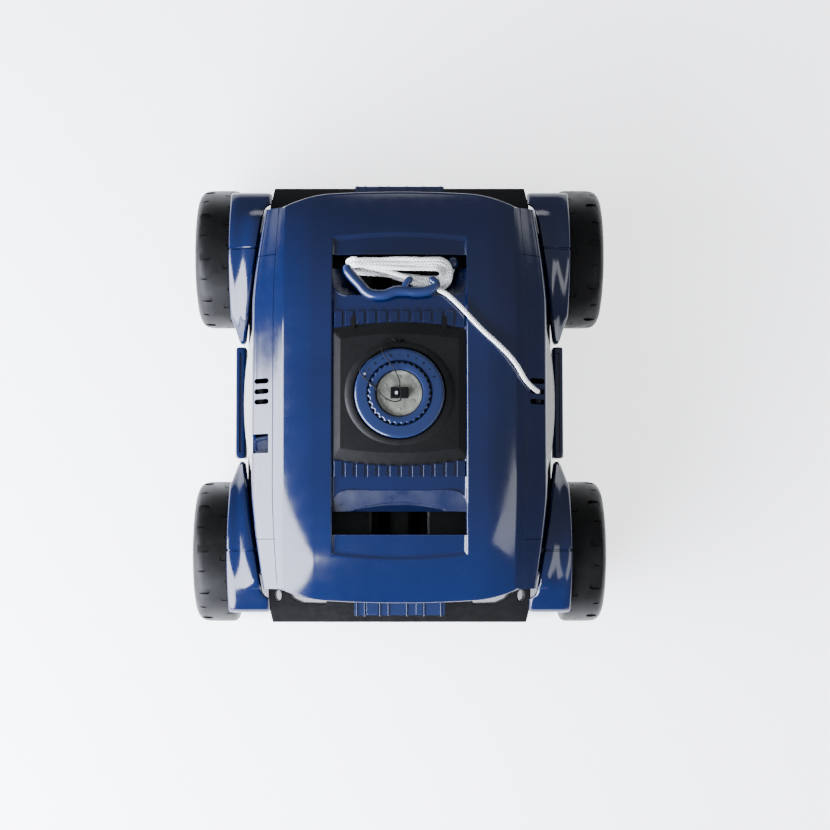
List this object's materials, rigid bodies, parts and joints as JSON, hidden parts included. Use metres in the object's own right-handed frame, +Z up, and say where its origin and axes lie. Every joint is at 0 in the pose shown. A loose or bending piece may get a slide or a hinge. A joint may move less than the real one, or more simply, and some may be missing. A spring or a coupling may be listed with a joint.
{
  "type": "pool cleaner",
  "caption": "Domed jet-driven pool cleaner on free-rolling wheels, with lift-off power unit, filter basket, dial port and a hanked recovery rope.",
  "frame": {"origin": "on the floor under the middle of the body", "axes": "+Y towards the rear, the end with the rope hank; +X to the right; +Z up"},
  "size_m": [0.399, 0.431, 0.2186],
  "materials": {
    "shell_blue": "deep gloss blue moulding",
    "trim_blue": "gloss blue moulding",
    "body_black": "fine-grained black moulding",
    "cover_grey": "satin charcoal moulding",
    "tyre_black": "satin moulded tread",
    "panel_grey": "satin warm grey",
    "window_clear": "cloudy translucent grey, gloss",
    "rubber_black": "matt rubber",
    "filter_mesh": "fine woven mesh",
    "steel": "turned stainless steel",
    "rope_white": "braided white cord"
  },
  "bodies": {
    "base": {"base_tray": "body_black", "bumper_bar_front": "body_black", "bumper_bar_rear": "body_black", "wiper_blade_front": "rubber_black", "wiper_blade_rear": "rubber_black", "fender_front_left": "shell_blue", "fender_front_right": "shell_blue", "fender_rear_left": "shell_blue", "fender_rear_right": "shell_blue", "axle_front_left": "steel", "axle_front_right": "steel", "axle_rear_left": "steel", "axle_rear_right": "steel", "side_rail_left": "shell_blue", "side_rail_right": "shell_blue", "flap_pin_front": "steel", "flap_pin_rear": "steel"},
    "wheel_front_left": {"tyre_front_left": "tyre_black", "hub_front_left": "body_black", "hub_cap_front_left": "trim_blue"},
    "wheel_front_right": {"tyre_front_right": "tyre_black", "hub_front_right": "body_black", "hub_cap_front_right": "trim_blue"},
    "wheel_rear_left": {"tyre_rear_left": "tyre_black", "hub_rear_left": "body_black", "hub_cap_rear_left": "trim_blue"},
    "wheel_rear_right": {"tyre_rear_right": "tyre_black", "hub_rear_right": "body_black", "hub_cap_rear_right": "trim_blue"},
    "flap_front": {"intake_flap_front": "body_black"},
    "flap_rear": {"intake_flap_rear": "body_black"},
    "filter": {"filter_frame": "trim_blue", "filter_basket": "filter_mesh"},
    "power_unit": {"top_shell": "shell_blue", "centre_cover": "cover_grey", "port_socket": "body_black", "port_window": "window_clear", "motor_housing": "body_black", "deck_plate": "body_black", "control_box": "body_black", "jet_duct_front": "body_black", "jet_duct_rear": "body_black", "jet_nozzle_front": "trim_blue", "jet_nozzle_rear": "trim_blue", "battery_pack_left": "body_black", "battery_pack_right": "body_black", "side_panel_left": "panel_grey", "side_panel_right": "panel_grey", "latch_pin": "steel", "rope_run": "rope_white", "rope_hank": "rope_white", "rope_grip": "trim_blue"},
    "rotor": {"motor_shaft": "steel", "impeller_front": "trim_blue", "impeller_rear": "trim_blue"},
    "dial": {"dial_ring": "trim_blue"},
    "collar": {"lock_collar": "trim_blue"},
    "plug": {"port_plug": "rubber_black", "plug_tether": "rubber_black"},
    "latch": {"latch_lever": "trim_blue"}
  },
  "joints": [
    {"name": "wheel_spin_front_left", "type": "hinge", "parent": "base", "child": "wheel_front_left", "pos_m": [-0.17875, -0.146, 0.069], "axis": [1, 0, 0], "continuous": true},
    {"name": "wheel_spin_front_right", "type": "hinge", "parent": "base", "child": "wheel_front_right", "pos_m": [0.17875, -0.146, 0.069], "axis": [1, 0, 0], "continuous": true},
    {"name": "wheel_spin_rear_left", "type": "hinge", "parent": "base", "child": "wheel_rear_left", "pos_m": [-0.17875, 0.146, 0.069], "axis": [1, 0, 0], "continuous": true},
    {"name": "wheel_spin_rear_right", "type": "hinge", "parent": "base", "child": "wheel_rear_right", "pos_m": [0.17875, 0.146, 0.069], "axis": [1, 0, 0], "continuous": true},
    {"name": "flap_swing_front", "type": "hinge", "parent": "base", "child": "flap_front", "pos_m": [0, -0.104, 0.0245], "axis": [1, 0, 0], "range_deg": [0, 60]},
    {"name": "flap_swing_rear", "type": "hinge", "parent": "base", "child": "flap_rear", "pos_m": [0, 0.104, 0.0245], "axis": [-1, 0, 0], "range_deg": [0, 60]},
    {"name": "power_unit_lift", "type": "slide", "parent": "base", "child": "power_unit", "axis": [0, 0, 1], "range_m": [0, 0.15]},
    {"name": "filter_lift", "type": "slide", "parent": "base", "child": "filter", "axis": [0, 0, 1], "range_m": [0, 0.075]},
    {"name": "rotor_spin", "type": "hinge", "parent": "power_unit", "child": "rotor", "pos_m": [0, 0, 0.128], "axis": [0, 1, 0], "continuous": true},
    {"name": "dial_turn", "type": "hinge", "parent": "power_unit", "child": "dial", "pos_m": [0, 0, 0.211], "axis": [0, 0, 1], "range_deg": [-120, 0]},
    {"name": "collar_turn", "type": "hinge", "parent": "power_unit", "child": "collar", "pos_m": [0, 0, 0.212], "axis": [0, 0, 1], "range_deg": [0, 40]},
    {"name": "plug_pull", "type": "slide", "parent": "power_unit", "child": "plug", "axis": [0, 0, 1], "range_m": [0, 0.022]},
    {"name": "latch_pull", "type": "hinge", "parent": "power_unit", "child": "latch", "pos_m": [-0.1205, -0.043, 0.1725], "axis": [0, 1, 0], "range_deg": [0, 35]}
  ],
  "couplings": [
    {"joint": "filter_lift", "follows": "power_unit_lift", "ratio": 0.5}
  ]
}
